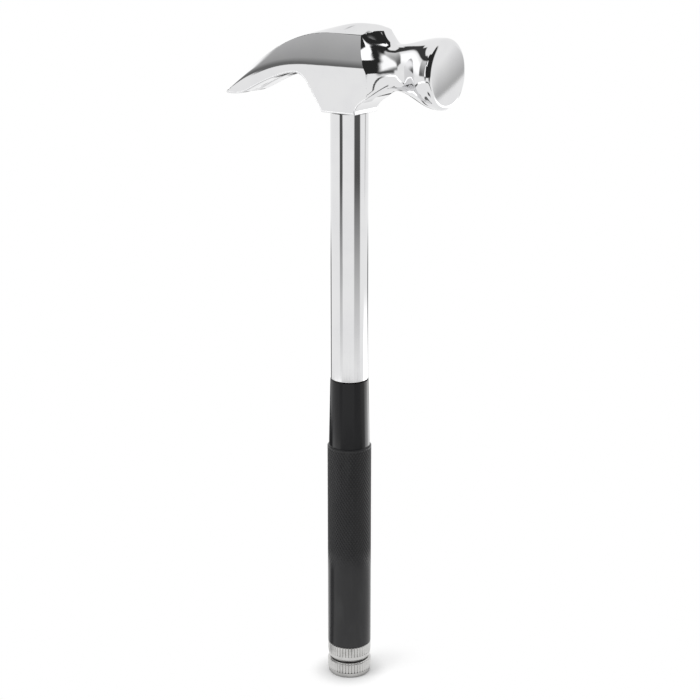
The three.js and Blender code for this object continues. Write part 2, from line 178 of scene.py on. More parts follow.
def block_depth(x, y, z):
    """How far a point lies outside the block and the claw: cheeks, facets, crown and foot."""
    crease_round, crown_round, foot_round = 0.3, 0.12, 0.45
    least_facet, facet_fullness = 0.3, 0.4
    across = np.abs(y)
    along = np.minimum(x, BLOCK_END)
    crease = crease_at(along)
    widest = cheek_half + CHEEK_LEAN
    lean = CHEEK_LEAN * np.clip((z - head_base) / (cheek_crease - head_base), 0, 1)
    facet_rise = np.maximum(edge_at(along) - crease, least_facet)
    facet_run = widest - crown_half_at(along)
    up_facet = np.clip((z - crease) / facet_rise, 0, 1)
    facet_swell = facet_fullness * up_facet * (1 - up_facet)
    facet = (across - widest) * facet_rise + (z - crease) * facet_run
    facet = facet / np.hypot(facet_rise, facet_run) - facet_swell
    sides = rounded_edge(across - cheek_half - lean, facet, crease_round)
    roofed = rounded_edge(sides, crown_depth(x, y, z), crown_round)
    return rounded_edge(roofed, foot_depth(x, z), foot_round)


def poll_depth(x, y, z):
    """How far a point lies outside the poll, by its radius round an axis that droops a little:
    a scoop that leaves the block at a crease, then a squarish waist, then the round bell."""
    waist_tall, waist_wide, waist_square = 5.85, 3.95, 2.5
    waist_rise, bell_droop, waist_slant = 0.4, 0.4, 2.3
    droop = (waist_rise + bell_droop) * eased((x - WAIST_REACH) / (BELL_REACH - WAIST_REACH))
    across, above = np.abs(y), z - poll_axis - waist_rise + droop
    from_axis = np.maximum(np.hypot(across, above), 1e-6)
    side, up = across / from_axis, above / from_axis

    facet_lean = math.atan2(cheek_half + CHEEK_LEAN - crown_half, crown_edge - cheek_crease)
    facet_reach, cheek_reach, roof_reach = 5.46, 5.55, 9.7
    cheek_fillet, roof_fillet = 0.5, 1
    facet = facet_reach / np.maximum(math.cos(facet_lean) * side + math.sin(facet_lean) * up, 0.1)
    cheek = cheek_reach / np.maximum(side, 0.1)
    block = filleted_join(filleted_join(facet, cheek, cheek_fillet), 0 * side + roof_reach, roof_fillet)

    top_crease, crease_slant = 5.9, 2.4
    prow_length, prow_half, prow_fade, prow_lean = 5.6, 1.9, 4, 0.12
    drop = np.clip(1 - block * up / (crown_edge - poll_axis - waist_rise), 0, 1.2)
    wall = across - prow_lean * np.clip(crown_edge - z, -1, 3)
    prow = 1 - eased((wall - prow_half) / (crown_half + 0.1 - prow_half))
    crease = top_crease + crease_slant * drop + prow_length * prow * eased(above / prow_fade)

    turn = np.degrees(np.arctan2(across, above))
    top_hollow, corner_hollow, side_hollow = 1.85, 2.6, 1.7
    hollow = top_hollow + (corner_hollow - top_hollow) * eased((turn - 14) / 14)
    hollow = hollow + (side_hollow - corner_hollow) * eased((turn - 30) / 45)
    waist_at = WAIST_REACH + waist_slant * side ** 2
    to_waist = np.clip((waist_at - x) / (waist_at - crease), 0, 2.5)
    flare = eased((x - waist_at) / (BELL_REACH - waist_at))
    waist = (side / waist_wide) ** waist_square + (np.abs(up) / waist_tall) ** waist_square
    waist = waist ** (-1 / waist_square)
    return from_axis - waist - (block - waist) * to_waist ** hollow - (bell_radius - waist) * flare


def head_depth(x, y, z):
    """Below zero inside the head: block and poll, striking face, notch in the claw and spigot."""
    face_dome, face_rim = 0.3, 1.3
    poll = poll_depth(x, y, z)
    body = np.where(x < WAIST_REACH, np.maximum(block_depth(x, y, z), poll), poll)
    face = x - face_reach + face_dome * (y ** 2 + (z - poll_axis) ** 2) / bell_radius ** 2
    body = rounded_edge(body, face, face_rim)

    notch_depth, notch_half, notch_round, tip_round = 18, 2.1, 0.7, 0.4
    notch = notch_half * (notch_depth - claw_reach - x) / notch_depth - np.abs(y)
    body = rounded_edge(rounded_edge(body, notch, notch_round), -claw_reach - x, tip_round)

    spigot_inset, spigot_root = 0.9, 1
    spigot = np.hypot(x, y) - (tube_radius - spigot_inset)
    spigot = np.maximum(np.maximum(spigot, head_low[2] - z), z - head_base - spigot_root)
    return np.minimum(body, spigot)


def slope_of(depth, points):
    """Which way a depth grows fastest at each point."""
    reach = 0.02
    steps = reach * np.eye(3)
    ahead = [depth(*(points + step).T) for step in steps]
    behind = [depth(*(points - step).T) for step in steps]
    return (np.array(ahead) - np.array(behind)).T / (2 * reach)


def onto_crease(first, second, points):
    """Moves points to where two surfaces cross, except where these run nearly side by side."""
    least_spread = 0.1
    for _ in range(4):
        one, two = slope_of(first, points), slope_of(second, points)
        lengths = (one ** 2).sum(1), (two ** 2).sum(1)
        shared = (one * two).sum(1)
        spread = np.maximum(lengths[0] * lengths[1] - shared ** 2, least_spread)
        off_one, off_two = first(*points.T), second(*points.T)
        along_one = (off_one * lengths[1] - off_two * shared) / spread
        along_two = (off_two * lengths[0] - off_one * shared) / spread
        points = points - one * along_one[:, None] - two * along_two[:, None]
    return points


def crossed_cells(depth, low, high, cell):
    """A point in each cell of a grid that the surface crosses where a depth is zero, and the
    faces that join these points."""
    axes = [np.arange(start, end + cell, cell) for start, end in zip(low, high)]
    inside = depth(*np.meshgrid(*axes, indexing="ij")) < 0
    size = np.array(inside.shape) - 1
    corners_in = np.zeros(size, int)
    for i, j, k in product((0, 1), repeat=3):
        corners_in += inside[i:size[0] + i, j:size[1] + j, k:size[2] + k]
    crossed = (corners_in > 0) & (corners_in < 8)
    number = np.full(size, -1)
    number[crossed] = np.arange(crossed.sum())
    points = np.array(low) + (np.argwhere(crossed) + 0.5) * cell
    faces = []
    for axis in range(3):
        turned_in = np.moveaxis(inside, axis, 0)
        turned_number = np.moveaxis(number, axis, 0)
        i, j, k = np.nonzero(turned_in[:-1] != turned_in[1:])
        leaving = turned_in[i, j, k]
        ring = [(j - 1, k - 1), (j, k - 1), (j, k), (j - 1, k)]
        quads = np.stack([turned_number[i, b, c] for b, c in ring], 1)
        keep = leaving if axis != 1 else ~leaving
        faces.append(np.where(keep[:, None], quads, quads[:, ::-1]))
    return points, np.concatenate(faces)


def evened(points, faces):
    """Points moved halfway to the middle of their neighbours."""
    total = np.zeros_like(points)
    count = np.zeros(len(points))
    for side in range(4):
        here, after = faces[:, side], faces[:, (side + 1) % 4]
        np.add.at(total, here, points[after])
        np.add.at(count, here, 1)
    return 0.5 * points + 0.5 * total / count[:, None]


def onto_surface(depth, points, passes):
    """Moves points to where a depth is zero."""
    least_steepness = 0.05
    for _ in range(passes):
        slope = slope_of(depth, points)
        steepness = np.maximum((slope ** 2).sum(1), least_steepness)
        points = points - slope * (depth(*points.T) / steepness)[:, None]
    return points


def skin_of(depth, crossing, low, high, cell):
    """A closed skin where a depth is zero, with its points evened out along the surface.
    Points beside the crossing of two of its surfaces are drawn onto their crease, and each
    face's corner normals are taken a little inside the face, clear of the crease."""
    beside_share, normal_inset = 0.6, 0.2
    points, faces = crossed_cells(depth, low, high, cell)
    for _ in range(3):
        points = onto_surface(depth, evened(points, faces), 3)
    points = onto_surface(depth, points, 6)
    first, second = crossing
    off_crease = np.maximum(np.abs(first(*points.T)), np.abs(second(*points.T)))
    beside = off_crease < beside_share * cell
    moved = onto_crease(first, second, points[beside])
    close = np.linalg.norm(moved - points[beside], axis=1) < cell
    points[beside] = np.where(close[:, None], moved, points[beside])
    middle = points[faces].mean(1, keepdims=True)
    corner = (1 - normal_inset) * points[faces] + normal_inset * middle
    return points, faces, slope_of(depth, corner.reshape(-1, 3))


SHARP_ANGLE = math.radians(38)


def made(name, points, faces, normals=None):
    """A mesh object from points in millimetres, smooth except at its sharp edges."""
    mesh = bpy.data.meshes.new(name)
    mesh.from_pydata(np.asarray(points, float) * MM, [], [list(map(int, face)) for face in faces])
    mesh.polygons.foreach_set("use_smooth", [True] * len(mesh.polygons))
    if normals is None:
        mesh.set_sharp_from_angle(angle=SHARP_ANGLE)
    else:
        mesh.normals_split_custom_set(normals / np.linalg.norm(normals, axis=1)[:, None])
    piece = bpy.data.objects.new(name, mesh)
    bpy.context.scene.collection.objects.link(piece)
    return piece


class Wire:
    """An output of a node. Sums on it add Math nodes, and node() adds any other node."""

    def __init__(self, tree, socket=None):
        self.tree = tree
        self.socket = socket

    def node(self, kind, settings=None, inputs=None, output=0):
        added = self.tree.nodes.new(kind)
        for name, value in (settings or {}).items():
            setattr(added, name, value)
        for name, value in (inputs or {}).items():
            if isinstance(value, Wire):
                self.tree.links.new(value.socket, added.inputs[name])
            else:
                added.inputs[name].default_value = value
        return Wire(self.tree, added.outputs[output] if added.outputs else None)

    def math(self, operation, *values):
        return self.node("ShaderNodeMath", {"operation": operation}, dict(enumerate(values)))

    def __add__(self, other):
        return self.math("ADD", self, other)

    def __sub__(self, other):
        return self.math("SUBTRACT", self, other)

    def __rsub__(self, other):
        return self.math("SUBTRACT", other, self)

    def __mul__(self, other):
        return self.math("MULTIPLY", self, other)

    __radd__ = __add__
    __rmul__ = __mul__

    def step(self, low, high, start=0.0, end=1.0):
        """Runs smoothly from start to end as the value goes from low to high."""
        inputs = {"Value": self, "From Min": low, "From Max": high, "To Min": start, "To Max": end}
        return self.node("ShaderNodeMapRange", {"interpolation_type": "SMOOTHSTEP"}, inputs)

    def ramp(self, low, high, start=0.0, end=1.0):
        """Runs straight from start to end as the value goes from low to high."""
        inputs = {"Value": self, "From Min": low, "From Max": high, "To Min": start, "To Max": end}
        return self.node("ShaderNodeMapRange", None, inputs)

    def fall(self, low, high):
        """Falls smoothly from 1 to 0 as the value goes from low to high."""
        return self.step(low, high, 1.0, 0.0)

    def between(self, first, second):
        """A colour from first to second as the value goes from 0 to 1."""
        inputs = {0: self, 6: (*first, 1), 7: (*second, 1)}
        return self.node("ShaderNodeMix", {"data_type": "RGBA"}, inputs, 2)

    def stretched(self, x, y, z):
        return self.node("ShaderNodeVectorMath", {"operation": "MULTIPLY"}, {0: self, 1: (x, y, z)})

    def along(self, *axis):
        """How far a vector reaches along an axis."""
        inputs = {0: self, 1: axis}
        return self.node("ShaderNodeVectorMath", {"operation": "DOT_PRODUCT"}, inputs, "Value")

    def from_axis(self):
        """How far a place lies from the handle's axis."""
        inputs = {0: self.stretched(1, 1, 0)}
        return self.node("ShaderNodeVectorMath", {"operation": "LENGTH"}, inputs, "Value")

    def noise(self, scale, detail=3.0):
        return self.node("ShaderNodeTexNoise", None, {"Vector": self, "Scale": scale, "Detail": detail})


def finish(name, look):
    """A material whose look is drawn from places in millimetres."""
    material = bpy.data.materials.new(name)
    material.use_nodes = True
    material.node_tree.nodes.clear()
    nodes = Wire(material.node_tree)
    millimetres = nodes.node("ShaderNodeTexCoord", output="Object").stretched(1 / MM, 1 / MM, 1 / MM)
    nodes.node("ShaderNodeOutputMaterial", None, {"Surface": look(nodes, millimetres)})
    return material


def dressed(piece, material, slot, body, *nodes):
    """Gives a piece its material, hides the solids that it replaces and hangs it on the body it rides on.
    The slot is not used.
    """
    piece.data.materials.append(material)
    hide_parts(*nodes)
    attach(piece, body)


def polished_chrome(nodes, place):
    haze = place.noise(0.16).step(0.35, 0.7)
    wipes = place.stretched(0.5, 6, 6).noise(1.2, 5.0).step(0.45, 0.8)
    return nodes.node("ShaderNodeBsdfPrincipled", None, {
        "Base Color": haze.between((0.77, 0.77, 0.775), (0.745, 0.745, 0.755)),
        "Metallic": 1.0,
        "Roughness": 0.02 + 0.02 * haze + 0.02 * wipes,
        "Normal": nodes.node("ShaderNodeBump", None, {
            "Strength": 0.04, "Distance": 0.02 * MM, "Height": wipes}),
    })


SKIN_MARGIN = 1.0
SKIN_CELL = 0.28
shoulder_crease = (block_depth, poll_depth)
head_skin = skin_of(head_depth, shoulder_crease, head_low - SKIN_MARGIN, head_high + SKIN_MARGIN, SKIN_CELL)
hammer_head = made("cast_claw_head", *head_skin)
dressed(hammer_head, finish("polished_chrome", polished_chrome), "chrome_head", "hammer", "hammer_head")


# Shaft tube: drawn steel tube, polished along its length and chromed. It is cut square,
# and its lower edge is broken where it meets the black grip.
TUBE_WALL = 0.85
MOST_FILLET = 0.4
KEEPER_ROW = 1.2


def rounded_outline(*points, steps=4):
    """A closed outline of (radius, height, fillet) corners, each fillet as a few short steps.
    A row just outside each fillet keeps the shading of the walls straight."""
    outline = []
    for i, (radius, height, fillet) in enumerate(points):
        here = np.array((radius, height), float)
        before = np.array(points[i - 1][:2], float) - here
        after = np.array(points[(i + 1) % len(points)][:2], float) - here
        if fillet == 0:
            outline.append(here)
            continue
        reach = min(fillet, MOST_FILLET * np.linalg.norm(before), MOST_FILLET * np.linalg.norm(after))
        back = before * reach / np.linalg.norm(before)
        on = after * reach / np.linalg.norm(after)
        outline.append(here + KEEPER_ROW * back)
        for t in np.linspace(0, 1, steps + 1):
            outline.append(here + (1 - t) ** 2 * back + t * t * on)
        outline.append(here + KEEPER_ROW * on)
    return np.array(outline)


def with_rows(outline, low, high, row, inner=0, outer=math.inf):
    """The outline with more points on its walls between two heights and two radii, for a relief."""
    rows = []
    for here, after in zip(outline, np.roll(outline, -1, axis=0)):
        rows.append(here)
        rise = after[1] - here[1]
        if min(here[1], after[1]) > high or max(here[1], after[1]) < low:
            continue
        if not inner < here[0] < outer:
            continue
        count = int(abs(rise) / row)
        rows.extend(here + (after - here) * t for t in np.arange(1, count) / max(count, 1))
    return np.array(rows)


def turned(name, outline, around=96, relief=None):
    """A body turned about the handle's axis from a closed outline, with a relief on its radius.
    An outline that touches the axis is left open there, and closed by a flat end."""
    closed = outline[:, 0].min() > 0
    if not closed:
        outline = outline[outline[:, 0] > 0]
    angle = 2 * math.pi * np.arange(around) / around
    radius, height = outline[:, :1], outline[:, 1:]
    full = radius + 0 * angle
    if relief is not None:
        full = relief(angle[None, :], height + 0 * angle, full)
    points = np.stack([full * np.cos(angle), full * np.sin(angle), height + 0 * angle], -1)
    rows = len(outline)
    number = np.arange(rows * around).reshape(rows, around)
    here = number if closed else number[:-1]
    above = np.roll(number, -1, axis=0) if closed else number[1:]
    quads = np.stack([here, np.roll(here, -1, 1), np.roll(above, -1, 1), above], -1).reshape(-1, 4)
    faces = [list(quad) for quad in quads]
    if not closed:
        faces += [list(number[0, ::-1]), list(number[-1])]
    return made(name, points.reshape(-1, 3), faces)


def drawn_chrome(nodes, place):
    haze = place.noise(0.12).step(0.35, 0.7)
    drawn = place.stretched(5, 5, 0.06).noise(1.0, 4.0).step(0.4, 0.75)
    return nodes.node("ShaderNodeBsdfPrincipled", None, {
        "Base Color": haze.between((0.77, 0.77, 0.775), (0.74, 0.74, 0.75)),
        "Metallic": 1.0,
        "Roughness": 0.025 + 0.02 * haze + 0.025 * drawn,
        "Normal": nodes.node("ShaderNodeBump", None, {
            "Strength": 0.05, "Distance": 0.02 * MM, "Height": drawn}),
    })


bottom, top = tube_low[2], tube_high[2]
tube_bore = tube_radius - TUBE_WALL
tube_outline = rounded_outline(
    (tube_bore, bottom, 0.15), (tube_radius, bottom, 0.2), (tube_radius, top, 0), (tube_bore, top, 0))
shaft_tube = turned("chromed_tube", tube_outline, 144)
dressed(shaft_tube, finish("drawn_chrome", drawn_chrome), "chrome_tube", "hammer", "shaft_tube")


# Thread bushes: brass rings with a cut female thread, pressed into the tube's lower end
# and into the grip's. The driver below screws into each of them.
THREAD_PITCH = 0.8
THREAD_DEPTH = 0.3
THREAD_ROW = THREAD_PITCH / 7
ROW_MARGIN = 0.1
BUSH_WALLS = {"shaft_thread_bush": 0.7, "grip_thread_bush": 0.6}


def thread_wave(angle, height):
    """A helix that rises from 0 at a thread's crest to 1 at its root."""
    flank_slope, crest_flat = 2.4, 0.1
    turn = height / THREAD_PITCH - angle / (2 * math.pi)
    return np.clip(flank_slope * np.abs(turn - np.round(turn)) - crest_flat, 0, 1)


def cut_inside(crest):
    """The relief of a female thread whose crests stand at a radius."""
    bore_margin = 0.05

    def relief(angle, height, radius):
        cut = radius + THREAD_DEPTH * thread_wave(angle, height)
        return np.where(radius < crest + bore_margin, cut, radius)
    return relief


def cut_outside(crest, low, high):
    """The relief of a male thread between two heights."""
    core_share = 0.72

    def relief(angle, height, radius):
        on_thread = (radius > core_share * crest) & (height > low) & (height < high)
        cut = crest - THREAD_DEPTH * thread_wave(angle, height)
        return np.where(on_thread, np.minimum(radius, cut), radius)
    return relief


def turned_brass(nodes, place):
    tool_marks = place.stretched(0.2, 0.2, 9).noise(1.0, 4.0).step(0.3, 0.75)
    tarnish = place.noise(0.5, 5.0).step(0.45, 0.75)
    return nodes.node("ShaderNodeBsdfPrincipled", None, {
        "Base Color": tarnish.between((0.66, 0.5, 0.22), (0.5, 0.36, 0.15)),
        "Metallic": 1.0,
        "Roughness": 0.2 + 0.14 * tarnish + 0.1 * tool_marks,
        "Normal": nodes.node("ShaderNodeBump", None, {
            "Strength": 0.15, "Distance": 0.03 * MM, "Height": tool_marks}),
    })


brass = finish("turned_brass", turned_brass)
for node, body in (("shaft_thread_bush", "hammer"), ("grip_thread_bush", "grip_driver")):
    low, high = corners(node)
    bore = high[0] - BUSH_WALLS[node]
    ring = rounded_outline(
        (bore, low[2], 0.3), (high[0], low[2], 0.15), (high[0], high[2], 0.15), (bore, high[2], 0.3))
    ring = with_rows(ring, low[2], high[2], THREAD_ROW, outer=high[0] - 2 * ROW_MARGIN)
    bush = turned("brass_" + node, ring, 64, cut_inside(bore))
    dressed(bush, brass, "turned_brass", body, node)


# Grip barrel: swaged steel tube under the black skin, necked down over the plug at its
# top. Only its two end faces show, when the drivers are drawn out.
BARREL_WALL = 0.85
SKIN_WALL = 0.4
SKIN_SHOULDER = 0.2
PRESS_GAP = 0.05
NOSE_LENGTH, NOSE_LIP, NOSE_STEP = 19, 0.18, 0.42


def bright_drawn_steel(nodes, place):
    drawn = place.stretched(6, 6, 0.1).noise(1.0, 4.0).step(0.35, 0.75)
    stains = place.noise(0.35, 5.0).step(0.5, 0.8)
    return nodes.node("ShaderNodeBsdfPrincipled", None, {
        "Base Color": stains.between((0.62, 0.62, 0.62), (0.5, 0.49, 0.47)),
        "Metallic": 1.0,
        "Roughness": 0.16 + 0.1 * drawn + 0.1 * stains,
        "Normal": nodes.node("ShaderNodeBump", None, {
            "Strength": 0.1, "Distance": 0.03 * MM, "Height": drawn}),
    })


bright_steel = finish("bright_drawn_steel", bright_drawn_steel)
barrel_low, barrel_high = corners("grip_barrel")
skin_low, skin_high = corners("grip_sleeve")
plug_low, plug_high = corners("grip_nose_plug")
grip_radius = skin_high[0]
barrel_radius = barrel_high[0]
nose_top_radius = tube_radius + NOSE_LIP
nose_low_radius = grip_radius - NOSE_STEP
grip_shoulder = skin_high[2] - NOSE_LENGTH
under_skin = SKIN_WALL + PRESS_GAP
barrel_bore = barrel_radius - BARREL_WALL
plug_seat = plug_high[0] + PRESS_GAP
barrel_outline = rounded_outline(
    (barrel_bore, barrel_low[2], 0.1),
    (barrel_radius, barrel_low[2], 0.12),
    (barrel_radius, grip_shoulder - SKIN_SHOULDER, 0.4),
    (nose_low_radius - under_skin, grip_shoulder, 0.4),
    (nose_top_radius - under_skin, barrel_high[2], 0.1),
    (plug_seat, barrel_high[2], 0.1),
    (plug_seat, plug_low[2] - SEAT_GAP, 0.3),
    (barrel_bore, grip_shoulder - SKIN_SHOULDER, 0.3),
)
grip_barrel = turned("swaged_grip_barrel", barrel_outline)
dressed(grip_barrel, bright_steel, "barrel_steel", "grip_driver", "grip_barrel")


# Grip sleeve: a black plastic skin shrunk over the barrel. Its hand area is embossed with
# small diamonds that die out downwards, and above a small step its tapered nose is glossy.
DIAMONDS_AROUND = 42
DIAMOND_LENGTH = 1.35
DIAMOND_DEPTH = 0.15
STEPS_PER_DIAMOND = 8
TEXTURE_LENGTH, TEXTURE_FADE = 37.2, 9
texture_bottom = grip_shoulder - TEXTURE_LENGTH


def embossed(angle, height, radius):
    """Grooves on two opposed helices leave diamonds, between the shoulder and the smooth end."""
    groove_share, plain_edge, edge_fade = 0.3, 0.15, 0.3
    turn = DIAMONDS_AROUND * angle / (2 * math.pi)
    rise = height / DIAMOND_LENGTH
    one = np.abs((turn + rise) - np.round(turn + rise))
    other = np.abs((turn - rise) - np.round(turn - rise))
    groove = 1 - eased(np.minimum(one, other) / groove_share)
    strength = eased((height - texture_bottom) / TEXTURE_FADE)
    strength = strength * eased((grip_shoulder - plain_edge - height) / edge_fade)
    outside = radius > grip_radius - SKIN_WALL / 2
    return np.where(outside, radius - DIAMOND_DEPTH * groove * strength, radius)


def black_plastic(nodes, place):
    height = place.along(0, 0, 1)
    crest = place.from_axis().step(grip_radius - DIAMOND_DEPTH, grip_radius)
    nose = height.step(grip_shoulder - 0.2, grip_shoulder + 0.4)
    grain = place.noise(7.0, 4.0)
    rubbed = place.stretched(1, 1, 0.25).noise(0.3, 4.0).step(0.45, 0.75)
    textured = height.step(texture_bottom, texture_bottom + TEXTURE_FADE)
    dull = 0.14 + 0.14 * textured + 0.08 * grain + 0.06 * rubbed
    tone = (0.45 + 0.35 * rubbed + 0.2 * crest) * (1 - 0.95 * nose)
    return nodes.node("ShaderNodeBsdfPrincipled", None, {
        "Base Color": tone.between((0.005, 0.005, 0.006), (0.029, 0.029, 0.03)),
        "Roughness": dull * (1 - nose) + nose * (0.07 + 0.05 * rubbed),
        "Specular IOR Level": 0.28,
        "Normal": nodes.node("ShaderNodeBump", None, {
            "Strength": 0.25, "Distance": 0.02 * MM, "Height": grain * (1 - 0.9 * nose)}),
    })


bottom, top = skin_low[2], skin_high[2]
shoulder_top = grip_shoulder + SKIN_SHOULDER
skin_bore = grip_radius - SKIN_WALL
skin_outline = rounded_outline(
    (skin_bore, bottom, 0.1),
    (grip_radius, bottom, 0.18),
    (grip_radius, texture_bottom, 0),
    (grip_radius, grip_shoulder, 0.12),
    (nose_low_radius, shoulder_top, 0.15),
    (nose_top_radius, top, 0.1),
    (nose_top_radius - SKIN_WALL, top, 0.1),
    (nose_low_radius - SKIN_WALL, grip_shoulder, 0.3),
    (skin_bore, grip_shoulder - SKIN_SHOULDER, 0.3),
)
skin_row = DIAMOND_LENGTH / STEPS_PER_DIAMOND
skin_outline = with_rows(
    skin_outline, texture_bottom + ROW_MARGIN, grip_shoulder, skin_row, inner=skin_bore + ROW_MARGIN)
grip_sleeve = turned("black_grip_skin", skin_outline, STEPS_PER_DIAMOND * DIAMONDS_AROUND, embossed)
dressed(grip_sleeve, finish("black_plastic", black_plastic), "black_skin", "grip_driver", "grip_sleeve")


# Grip nose plug: a turned steel plug pressed into the barrel's nose. Its threaded end
# stands out of the grip and screws into the tube, and its bore holds the largest blade.
GRIP_BLADE_RADIUS = 2.2
PLUG_SHOULDER = 0.7
THREAD_START = 0.2
plug_bore = GRIP_BLADE_RADIUS + PRESS_GAP
thread_radius = plug_high[0] - PLUG_SHOULDER
plug_outline = rounded_outline(
    (plug_bore, plug_low[2], 0.1),
    (plug_high[0], plug_low[2], 0.2),
    (plug_high[0], skin_high[2], 0.15),
    (thread_radius, skin_high[2], 0),
    (thread_radius, plug_high[2], 0.5),
    (plug_bore, plug_high[2], 0.1),
)
plug_outline = with_rows(
    plug_outline, skin_high[2] + ROW_MARGIN, plug_high[2], THREAD_ROW, inner=plug_bore + ROW_MARGIN)
plug_thread = cut_outside(thread_radius, skin_high[2] + THREAD_START, plug_high[2])
grip_nose_plug = turned("threaded_nose_plug", plug_outline, 64, plug_thread)
dressed(grip_nose_plug, bright_steel, "barrel_steel", "grip_driver", "grip_nose_plug")


# Flat blades: round tool-steel rods, hot spread to a flat tip and ground square. The
# large one is fixed in the grip's plug and the small one in the slim driver's barrel. Each
# has a rod radius, a tip length and a tip thickness.
TIP_ROWS, TIP_TAPER, TIP_SQUARE = 16, 0.8, 6


def ground_tool_steel(nodes, place):
    grinding = place.stretched(9, 9, 0.5).noise(1.0, 5.0).step(0.3, 0.75)
    heat = place.noise(0.3, 4.0).step(0.45, 0.75)
    return nodes.node("ShaderNodeBsdfPrincipled", None, {
        "Base Color": heat.between((0.52, 0.52, 0.53), (0.42, 0.41, 0.4)),
        "Metallic": 1.0,
        "Roughness": 0.2 + 0.14 * grinding + 0.06 * heat,
        "Normal": nodes.node("ShaderNodeBump", None, {
            "Strength": 0.2, "Distance": 0.03 * MM, "Height": grinding}),
    })


tool_steel = finish("ground_tool_steel", ground_tool_steel)
FLAT_BLADES = {
    "grip_driver_blade": ("grip_driver", GRIP_BLADE_RADIUS, 8, 1.0),
    "slim_driver_blade": ("slim_driver", 1.3, 4, 0.6),
}
for node, (body, rod, tip_length, tip_thick) in FLAT_BLADES.items():
    low, high = corners(node)
    tip_half = high[0]
    end = high[2]
    outline = rounded_outline(
        (0, low[2], 0), (rod, low[2], 0.2), (rod, end, 0.12), (0, end, 0), steps=3)
    outline = with_rows(outline, end - 2.2 * tip_length, end, tip_length / TIP_ROWS)

    def spread(angle, height, radius):
        """The rod widens and thins from two tip lengths below the tip, with squared corners."""
        share = eased((height - end + 2 * tip_length) / tip_length)
        thin = 0.5 * tip_thick * (1 + TIP_TAPER * np.clip((end - height) / tip_length, 0, 1))
        half_wide = rod + (tip_half - rod) * share
        half_thick = rod + (thin - rod) * share
        square = 2 + TIP_SQUARE * share
        across = np.abs(np.cos(angle) / half_wide) ** square
        through = np.abs(np.sin(angle) / half_thick) ** square
        return (across + through) ** (-1 / square) * radius / rod

    blade = turned("flat_" + node, outline, 96, spread)
    dressed(blade, tool_steel, "blade_steel", body, node)


# Cross-point blades: round tool-steel rods with a blunt cone and four milled slots. The
# middle driver holds one, and the small one is pressed into the end disc.
CROSS_BLADES = {"middle_driver_blade": "middle_driver", "end_driver_blade": "end_driver"}
POINT_LENGTH, POINT_RADIUS, POINT_ROW = 3.2, 0.45, 0.12
WING_HALF, WING_TAPER, SLOT_RUNOUT, SLOT_EASE = 0.45, 0.35, 0.1, 1.5
for node, body in CROSS_BLADES.items():
    low, high = corners(node)
    rod = high[0]
    end = high[2]
    cone = end - POINT_LENGTH
    outline = rounded_outline(
        (0, low[2], 0), (rod, low[2], 0.15), (rod, cone, 0.3), (POINT_RADIUS, end, 0.1), (0, end, 0))
    outline = with_rows(outline, cone - 2, end, POINT_ROW)

    def slotted(angle, height, radius):
        """Four wings, whose slots run out just below the cone."""
        wing = WING_HALF + rod * eased((cone - SLOT_RUNOUT - height) / SLOT_EASE)
        wing = wing * (1 - WING_TAPER * eased((height - cone) / POINT_LENGTH))
        corner = np.minimum(np.abs(np.sin(angle)), np.abs(np.cos(angle)))
        return np.minimum(radius, wing / np.maximum(corner, 0.01))

    blade = turned("cross_" + node, outline, 96, slotted)
    dressed(blade, tool_steel, "blade_steel", body, node)


# Thin barrels of the two inner drivers: drawn steel tubes, open below, with a swaged nose
# that grips the blade. Each is pressed into the thread of its knob, and has a wall, the
# radius of its blade and the length that holds it.
SWAGE = {
    "middle_driver_barrel": ("middle_driver", 0.6, 1.8, 6),
    "slim_driver_barrel": ("slim_driver", 0.72, 1.3, 5),
}
for node, (body, wall, blade_radius, hold) in SWAGE.items():
    low, high = corners(node)
    bore = high[0] - wall
    pinch = blade_radius + PRESS_GAP
    nose_start = high[2] - hold
    outline = rounded_outline(
        (bore, low[2], 0.1),
        (high[0], low[2], 0.15),
        (high[0], nose_start + SEAT_GAP, 1.2),
        (blade_radius + wall, high[2], 0.25),
        (pinch, high[2], 0.1),
        (pinch, nose_start + SEAT_GAP, 0.1),
        (bore, nose_start - SEAT_GAP, 0.1),
    )
    barrel = turned("thin_" + node, outline, 64)
    dressed(barrel, bright_steel, "barrel_steel", body, node)


# Middle driver's knob: turned steel with a straight-knurled ring, a rounded cone below it
# and a male thread above that screws into the grip, all nickelled to a satin finish.
KNURL_TEETH = 44
KNURL_DEPTH = 0.25
STEPS_PER_TOOTH = 12
CONE_HEIGHT, KNURL_HEIGHT, KNURL_RUNOUT = 2.15, 2.35, 0.4
CONE_FOOT_RADIUS, CONE_SWELL, CONE_INSET = 5.4, 0.9, 0.15


def knurled(crest, low, high):
    """The relief of straight teeth round a ring between two heights."""
    core_share, flank_slope = 0.8, 2.2

    def relief(angle, height, radius):
        tooth = np.abs(2 * ((KNURL_TEETH * angle / (2 * math.pi)) % 1) - 1)
        limit = crest - KNURL_DEPTH * np.clip(flank_slope * (tooth - 1) + 1, 0, 1)
        on_ring = (radius > core_share * crest) & (height > low) & (height < high)
        return np.where(on_ring, np.minimum(radius, limit), radius)
    return relief


def knurled_and_threaded(knurl, thread):
    """The relief of a knurled ring, and then of the thread above it."""
    def relief(angle, height, radius):
        return thread(angle, height, knurl(angle, height, radius))
    return relief


def satin_nickel(nodes, place):
    turned_lines = place.stretched(0.15, 0.15, 12).noise(1.0, 4.0).step(0.3, 0.75)
    handled = place.noise(0.5, 5.0).step(0.42, 0.75)
    return nodes.node("ShaderNodeBsdfPrincipled", None, {
        "Base Color": handled.between((0.59, 0.585, 0.575), (0.5, 0.495, 0.485)),
        "Metallic": 1.0,
        "Roughness": 0.2 + 0.1 * turned_lines + 0.08 * handled,
        "Normal": nodes.node("ShaderNodeBump", None, {
            "Strength": 0.15, "Distance": 0.03 * MM, "Height": turned_lines}),
    })


